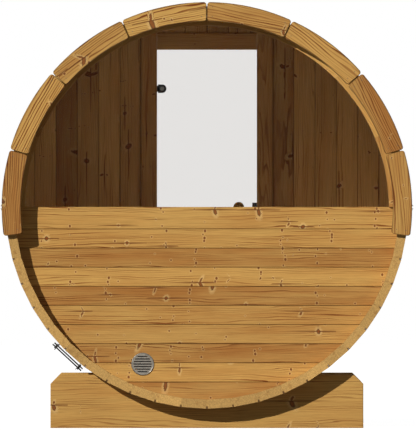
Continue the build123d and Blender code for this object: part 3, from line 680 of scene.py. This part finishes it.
def photo_camera():
    """The photo is a straight-on view with almost no perspective, so the lens is very long."""
    photo_width, photo_height = 416, 431
    metres_a_pixel = 0.005
    barrel_column = 206.9
    ground_row = 428.4
    camera = bpy.data.cameras.new("camera")
    camera.sensor_width = 36.0
    camera.lens = 1600.0
    distance = photo_height * metres_a_pixel * camera.lens / camera.sensor_width
    camera.clip_start = 1.0
    camera.clip_end = 400.0
    holder = bpy.data.objects.new("camera", camera)
    holder.location = (
        (photo_width / 2 - barrel_column) * metres_a_pixel,
        -STAVE_END - distance,
        (ground_row - photo_height / 2) * metres_a_pixel,
    )
    holder.rotation_euler = (math.pi / 2, 0.0, 0.0)
    bpy.context.scene.collection.objects.link(holder)
    bpy.context.scene.camera = holder


def keep_piece(bm, name, body, material, smooth=False):
    """Turn a finished bmesh into a piece that rides on a body."""
    bmesh.ops.remove_doubles(bm, verts=bm.verts, dist=1e-6)
    bmesh.ops.recalc_face_normals(bm, faces=bm.faces)
    for face in bm.faces:
        face.smooth = smooth
    mesh = bpy.data.meshes.new(name)
    bm.to_mesh(mesh)
    bm.free()
    piece = bpy.data.objects.new(name, mesh)
    bpy.context.scene.collection.objects.link(piece)
    mesh.materials.append(material)
    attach(piece, body)
    return piece


def placed(origin, along):
    """A matrix whose local z runs along a direction."""
    turn = Vector(along).to_track_quat("Z", "Y").to_matrix().to_4x4()
    return Matrix.Translation(origin) @ turn


def add_disc(bm, place, radius, height, segments=20, edge=0.0):
    """A disc or prism that stands on its place, with its top edge bevelled if asked."""
    made = bmesh.ops.create_circle(bm, cap_ends=True, segments=segments, radius=radius)
    face = made["verts"][0].link_faces[0]
    top = bmesh.ops.extrude_face_region(bm, geom=[face])["geom"]
    raised = [item for item in top if isinstance(item, bmesh.types.BMVert)]
    bmesh.ops.translate(bm, vec=(0.0, 0.0, height), verts=raised)
    if edge > 0:
        rim = [item for item in top if isinstance(item, bmesh.types.BMEdge)]
        bevelled = bmesh.ops.bevel(
            bm, geom=rim, offset=edge, affect="EDGES", segments=2, profile=0.5, material=-1,
        )
        raised = list({vert for vert in raised if vert.is_valid} | set(bevelled["verts"]))
    verts = list({vert for vert in made["verts"] + raised if vert.is_valid})
    bmesh.ops.transform(bm, matrix=place, verts=verts)


def add_stack(bm, seat, along, washer_radius, nut_radius, nut_height):
    """A washer on its seat with a hexagon nut on it."""
    add_disc(bm, placed(seat, along), washer_radius, WASHER_THICKNESS, edge=WASHER_EDGE)
    nut = seat + along * WASHER_THICKNESS
    add_disc(bm, placed(nut, along), nut_radius, nut_height, segments=6, edge=NUT_CHAMFER)


def add_thread(bm, place, radius, length, pitch, depth, segments=14):
    """A threaded rod: a zigzag outline spun once while it climbs one pitch, so that the ridges join."""
    turns = int(length / pitch)
    outline = []
    for step in range(2 * turns + 1):
        out = radius - depth if step % 2 == 0 else radius
        outline.append(bm.verts.new((out, 0.0, step * pitch / 2 - length / 2)))
    edges = [bm.edges.new(pair) for pair in zip(outline, outline[1:])]
    bmesh.ops.spin(
        bm, geom=outline + edges, cent=(0.0, 0.0, 0.0), axis=(0.0, 0.0, 1.0),
        dvec=(0.0, 0.0, pitch / segments), angle=2 * math.pi, steps=segments, use_merge=False,
    )
    bmesh.ops.remove_doubles(bm, verts=bm.verts, dist=1e-6)
    open_edges = [edge for edge in bm.edges if edge.is_boundary]
    bmesh.ops.holes_fill(bm, edges=open_edges, sides=0)
    bmesh.ops.transform(bm, matrix=place, verts=bm.verts)


def tension_rods(material):
    """Threaded rods with washers and nuts that pull the bands tight at the lower left."""
    across = Vector((-math.sin(TENSION_ANGLE), 0.0, math.cos(TENSION_ANGLE)))
    outward = Vector((math.cos(TENSION_ANGLE), 0.0, math.sin(TENSION_ANGLE)))
    nut_radius = ROD_NUT_SIZE / 2 / math.cos(math.pi / 6)
    for end in ("window_end", "door_end"):
        low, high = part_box(f"band_{end}")
        centre = Vector((0.0, (low.y + high.y) / 2, AXIS_Z)) + outward * (OUTER_RADIUS + ROD_OFFSET)
        bm = bmesh.new()
        add_thread(bm, placed(centre, across), ROD_RADIUS, ROD_LENGTH, ROD_PITCH, ROD_THREAD_DEPTH)
        for way in (-1, 1):
            seat = centre + across * way * (EAR_SPACING + EAR_THICKNESS) / 2
            add_stack(bm, seat, across * way, ROD_WASHER_RADIUS, nut_radius, ROD_NUT_HEIGHT)
        piece = keep_piece(bm, f"threaded_rod_{end}", "barrel", material)
        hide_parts(f"tension_rod_{end}")


def splice_bolts(material):
    """Bolts with nuts that join the bands at each side."""
    upward = Vector((0.0, 0.0, 1.0))
    for end in ("window_end", "door_end"):
        low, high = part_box(f"band_{end}")
        for side_name, side, reach in (("left", -1, -low.x), ("right", 1, high.x)):
            bm = bmesh.new()
            centre = Vector((side * (reach - SPLICE_BOLT_INSET), (low.y + high.y) / 2, AXIS_Z))
            add_thread(
                bm, placed(centre, upward), SPLICE_BOLT_RADIUS, SPLICE_BOLT_LENGTH, SPLICE_PITCH,
                SPLICE_THREAD_DEPTH,
            )
            for way, height in ((-1, SPLICE_NUT_HEIGHT), (1, SPLICE_HEAD_HEIGHT)):
                seat = centre + upward * way * (SPLICE_SPACING / 2 + BAND_THICKNESS)
                add_stack(bm, seat, upward * way, SPLICE_WASHER_RADIUS, SPLICE_NUT_RADIUS, height)
            keep_piece(bm, f"splice_bolt_{end}_{side_name}", "barrel", material)


def hinge_caps(material):
    """Satin cover discs on the inside of the hinge clamps."""
    for height in ("upper", "lower"):
        low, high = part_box(f"hinge_{height}_clamp")
        bm = bmesh.new()
        centre = (HINGE_BOSS_X, low.y, (low.z + high.z) / 2)
        add_disc(
            bm, placed(centre, (0.0, -1.0, 0.0)), HINGE_CAP_RADIUS, HINGE_CAP_THICKNESS, segments=32,
            edge=WASHER_EDGE,
        )
        keep_piece(bm, f"hinge_cap_{height}", "door", material)


def vent_mesh(material):
    """Insect gauze stretched just behind the vent's slots, also a dark sheet that paints the shade in them.
    """
    low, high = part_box("vent")
    depth = low.y + VENT_FLANGE + GAUZE_SETBACK
    centre = Vector(((low.x + high.x) / 2, depth, (low.z + high.z) / 2))
    reach = (high.x - low.x) / 2 - GAUZE_INSET
    bm = bmesh.new()
    for step in range(1, GAUZE_WIRES):
        offset = reach * (2 * step / GAUZE_WIRES - 1)
        length = 2 * math.sqrt(reach * reach - offset * offset)
        for turned in (False, True):
            made = bmesh.ops.create_cube(bm, size=1.0)
            size = (GAUZE_WIRE, GAUZE_WIRE, length) if turned else (length, GAUZE_WIRE, GAUZE_WIRE)
            shift = (offset, 0.0, 0.0) if turned else (0.0, GAUZE_WIRE / 2, offset)
            bmesh.ops.scale(bm, vec=size, verts=made["verts"])
            bmesh.ops.translate(bm, vec=centre + Vector(shift), verts=made["verts"])
    keep_piece(bm, "vent_gauze", "barrel", material)


def vent_rim(material):
    """A rolled bead round the vent's flange, half sunk into it."""
    low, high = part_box("vent")
    centre = ((low.x + high.x) / 2, low.y, (low.z + high.z) / 2)
    reach = (high.x - low.x) / 2 - VENT_RIM_RADIUS - VENT_RIM_INSET
    bm = bmesh.new()
    made = bmesh.ops.create_circle(bm, cap_ends=False, segments=10, radius=VENT_RIM_RADIUS)
    upright = Matrix.Translation((reach, 0.0, 0.0)) @ Matrix.Rotation(math.pi / 2, 4, "X")
    bmesh.ops.transform(bm, matrix=upright, verts=made["verts"])
    bmesh.ops.spin(
        bm, geom=list(bm.verts) + list(bm.edges), cent=(0.0, 0.0, 0.0), axis=(0.0, 0.0, 1.0),
        dvec=(0.0, 0.0, 0.0), angle=2 * math.pi, steps=72, use_merge=True,
    )
    bmesh.ops.transform(bm, matrix=placed(centre, (0.0, -1.0, 0.0)), verts=bm.verts)
    keep_piece(bm, "vent_rim", "barrel", material, smooth=True)


def turned_knobs(material):
    """Door knobs turned from one blank: a foot, a neck that swells and a low crown."""
    steps = 14
    quarter = [math.pi / 2 * step / steps for step in range(steps + 1)]
    swell = KNOB_RADIUS - KNOB_NECK
    outline = [
        (0.0, 0.0),
        (KNOB_FOOT - KNOB_FOOT_EDGE, 0.0),
        (KNOB_FOOT, KNOB_FOOT_EDGE),
        (KNOB_FOOT, KNOB_FOOT_HEIGHT - KNOB_FOOT_EDGE),
        (KNOB_FOOT - KNOB_FOOT_EDGE, KNOB_FOOT_HEIGHT),
        (KNOB_NECK, KNOB_NECK_START),
    ]
    outline += [
        (KNOB_NECK + swell * math.cos(turn), KNOB_WIDEST - KNOB_CROWN * math.sin(turn))
        for turn in reversed(quarter)
    ]
    outline += [
        (KNOB_RADIUS * math.cos(turn), KNOB_WIDEST + KNOB_CROWN * math.sin(turn))
        for turn in quarter[1:]
    ]
    for name, way in (("knob_outside", 1), ("knob_inside", -1)):
        low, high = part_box(name)
        face = low.y if way > 0 else high.y
        centre = ((low.x + high.x) / 2, face, (low.z + high.z) / 2)
        bm = bmesh.new()
        corners = [bm.verts.new((out, 0.0, rise)) for out, rise in outline]
        edges = [bm.edges.new(pair) for pair in zip(corners, corners[1:])]
        bmesh.ops.spin(
            bm, geom=corners + edges, cent=(0.0, 0.0, 0.0), axis=(0.0, 0.0, 1.0), dvec=(0.0, 0.0, 0.0),
            angle=2 * math.pi, steps=48, use_merge=True,
        )
        bmesh.ops.transform(bm, matrix=placed(centre, (0.0, way, 0.0)), verts=bm.verts)
        piece = keep_piece(bm, f"turned_{name}", "door", material, smooth=True)
        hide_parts(name)


def hinge_screws(material):
    """Four screws with low bevelled heads in the plate of each hinge bracket."""
    for height in ("upper", "lower"):
        low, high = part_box(f"hinge_{height}_bracket")
        middle = (low.z + high.z) / 2
        bm = bmesh.new()
        for column in HINGE_SCREW_COLUMNS:
            for side in (-1, 1):
                spot = (low.x + column, low.y + HINGE_PLATE, middle + side * HINGE_SCREW_RISE)
                add_disc(
                    bm, placed(spot, (0.0, 1.0, 0.0)), HINGE_SCREW_RADIUS, HINGE_SCREW_HEIGHT,
                    edge=HINGE_SCREW_EDGE,
                )
        keep_piece(bm, f"hinge_screws_{height}", "barrel", material)


def floor_screws(material):
    """Two screws through every floor board into every bearer."""
    low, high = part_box("floor_boards")
    bearer_low, bearer_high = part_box("floor_bearers")
    boards = round((high.x - low.x) / FLOOR_PITCH)
    bm = bmesh.new()
    for board in range(boards):
        middle = (board - (boards - 1) / 2) * FLOOR_PITCH
        for row in (bearer_low.y + BEARER_WIDTH / 2, 0.0, bearer_high.y - BEARER_WIDTH / 2):
            for side in (-1, 1):
                spot = (middle + side * FLOOR_SCREW_SPREAD, row, high.z)
                add_disc(
                    bm, placed(spot, (0.0, 0.0, 1.0)), FLOOR_SCREW_RADIUS, FLOOR_SCREW_HEIGHT, segments=12,
                )
    keep_piece(bm, "floor_screws", "barrel", material)


def trim_nails(material):
    """Small nail heads, two at each end of every trim board, flat on its face."""
    faces = (("window_trim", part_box("window_trim")[0].y, -1), ("door_trim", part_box("door_trim")[1].y, 1))
    for name, face, way in faces:
        bm = bmesh.new()
        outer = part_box(name)[1].x
        for board in range(TRIM_BOARDS):
            middle = -TRIM_DROP + (board + 0.5) * TRIM_ANGLE
            for side in (-1, 1):
                for inset in NAIL_INSETS:
                    angle = middle + side * (TRIM_ANGLE / 2 - NAIL_END_ANGLE)
                    radius = outer - inset
                    spot = (radius * math.cos(angle), face, AXIS_Z + radius * math.sin(angle))
                    add_disc(bm, placed(spot, (0.0, way, 0.0)), NAIL_RADIUS, NAIL_HEIGHT, segments=12)
        keep_piece(bm, f"{name}_nails", "barrel", material)


# The cabin's inner walls: larger and softer knots, boards that differ more, and painted shade along the
# joints
CABIN_WALL = {
    "seam": 0.003,
    "knots": 1.3,
    "pins": 0.0,
    "rows": 0.5,
    "halo": 0.15,
    "vary": 1.9,
    "tint": (1.0, 1.04, 1.12),
}

# The door's frame: smaller knots, with little pale wood round them
DOOR_FRAME = {"knots": 0.7, "halo": 0.1}


def dress_barrel():
    """Staves, trims and glazing beads."""
    dress(stave_boards(), *STAVE_NODES)
    dress(trim_boards("planed_trim_spruce", 11.0), "window_trim")
    dress(trim_boards("planed_door_trim_spruce", 29.0), "door_trim")
    dress(bead_boards(), "window_bead_outside", "window_bead_inside")


def dress_walls():
    """The half wall's boards lie across, the door wall's stand upright."""
    # Painted shade darkens the boards along their joints
    half_wall = flat_boards(
        "planed_half_wall_spruce", "x", "z", BOARD_PITCH,
        HALF_WALL_TOP - TOP_BOARD - TOP_NUMBER * BOARD_PITCH, 61.0, last=TOP_NUMBER,
        seam=0.0030, vary=1.2, bold=0.75, tone=0.95,
    )
    dress(half_wall, "half_wall")
    uprights = (
        ("planed_door_wall_spruce", UPRIGHT_START, 71.0, "door_wall_right"),
        ("planed_door_wall_left_spruce", -UPRIGHT_START, 83.0, "door_wall_left"),
    )
    for name, start, seed, node in uprights:
        dress(flat_boards(name, "z", "x", UPRIGHT_PITCH, start, seed, **CABIN_WALL), node)
    short = flat_boards("planed_short_board_spruce", "z", "x", SHORT_PITCH, 0.0, 97.0, **CABIN_WALL)
    dress(short, "door_wall_over", "door_wall_under")


def dress_door_frame():
    """Jambs with their grain upright, and a head and threshold with theirs across."""
    # Painted shade: each jamb darkens along its outer edge, as the shadow gap to the wall boards
    jambs = (
        ("planed_jamb_left_spruce", -FRAME_HALF, 101.0, "door_jamb_left"),
        ("planed_jamb_right_spruce", FRAME_HALF - JAMB_PITCH, 103.0, "door_jamb_right"),
    )
    for name, start, seed, node in jambs:
        dress(flat_boards(name, "z", "x", JAMB_PITCH, start, seed, seam=0.012, **DOOR_FRAME), node)
    head = flat_boards("planed_head_spruce", "x", "z", HEAD_PITCH, 0.0, 113.0, tone=0.92, **DOOR_FRAME)
    dress(head, "door_head", "door_threshold")


def dress_cradles_and_floor():
    """Cradles sawn from one plank each, and the duckboards."""
    cradle = flat_boards(
        "planed_cradle_spruce", "x", "z", 1.0, -0.2, 127.0, knots=1.2, cell=0.14, tone=0.84,
        rows=0.0, pins=0.0, bold=0.7, least=0.15, ends=(1.0, 0.0, 0.0),
    )
    dress(cradle, "cradle_window_end", "cradle_door_end")
    floor = flat_boards("planed_floor_spruce", "y", "x", FLOOR_PITCH, 0.0, 131.0)
    dress(floor, "floor_boards", "floor_bearers")


def knobs_and_glass():
    """The turned knobs and both panes."""
    # Birch turned on a lathe: plain and fine, without knots
    turned_knobs(flat_boards("turned_knob_birch", "x", "z", 1.0, 0.0, 151.0, knots=0.0, tone=0.62))
    dress(clear_glass("toughened_window_glass", "#F1F0EF"), "window_glass")
    dress(clear_glass("toughened_door_glass", "#F1F0EF"), "door_glass")


def bands_and_fixings():
    """The bands and every metal fixing, each with its own finish."""
    # Rolled steel strip with its grey skin: a dull sheen
    band = worn_metal("rolled_band_steel", "#4A4846", 1.0, 0.34, 0.52, scale=40.0)
    dress(band, "band_window_end", "band_door_end")

    # Steel blackened by oxide: almost black, with a low satin gloss
    black_steel = worn_metal("black_oxide_steel", "#131314", 0.2, 0.42, 0.6, scale=90.0)
    tension_rods(black_steel)
    splice_bolts(black_steel)

    # Satin stainless caps: pale and softly bright
    hinge_caps(worn_metal("satin_cap_steel", "#7B7872", 1.0, 0.3, 0.45, scale=120.0))

    # Blackened screws: dark, with a little more gloss than the plates round them
    hinge_screws(worn_metal("black_screw_steel", "#262626", 0.7, 0.35, 0.5, scale=150.0))

    # Plated screws: bright and a little uneven
    floor_screws(worn_metal("bright_screw_steel", "#8F8C84", 1.0, 0.3, 0.45, scale=150.0))

    # Woven wire with a black coat and no shine; its near black is also painted shade, so that the slots look
    # dark
    vent_mesh(worn_metal("gauze_wire_painted_shade", "#060606", 0.0, 0.6, 0.8, scale=150.0))

    # Zinc-plated nails, gone dull
    trim_nails(worn_metal("zinc_nail_steel", "#5E5A52", 1.0, 0.35, 0.5, scale=120.0))
    dress(
        black_steel,
        "hinge_upper_bracket", "hinge_lower_bracket", "hinge_upper_clamp", "hinge_lower_clamp",
    )

    # Pressed aluminium with a satin skin: mid grey, bright along its rim
    vent_aluminium = worn_metal("satin_vent_aluminium", "#807A70", 0.9, 0.32, 0.46, scale=120.0)
    dress(vent_aluminium, "vent")
    vent_rim(vent_aluminium)

    # Brushed stainless bolt, and a catch moulded from dark ABS with a matt skin
    dress(worn_metal("brushed_bolt_steel", "#9A9A98", 1.0, 0.25, 0.4, scale=150.0), "knob_bolt")
    dress(worn_metal("dark_catch_plastic", "#3A3A3B", 0.0, 0.4, 0.55, scale=200.0), "door_catch")


photo_camera()
sun_and_sky()
pale_floor()
dress_barrel()
dress_walls()
dress_door_frame()
dress_cradles_and_floor()
knobs_and_glass()
bands_and_fixings()

bpy.context.scene.view_settings.view_transform = "Standard"
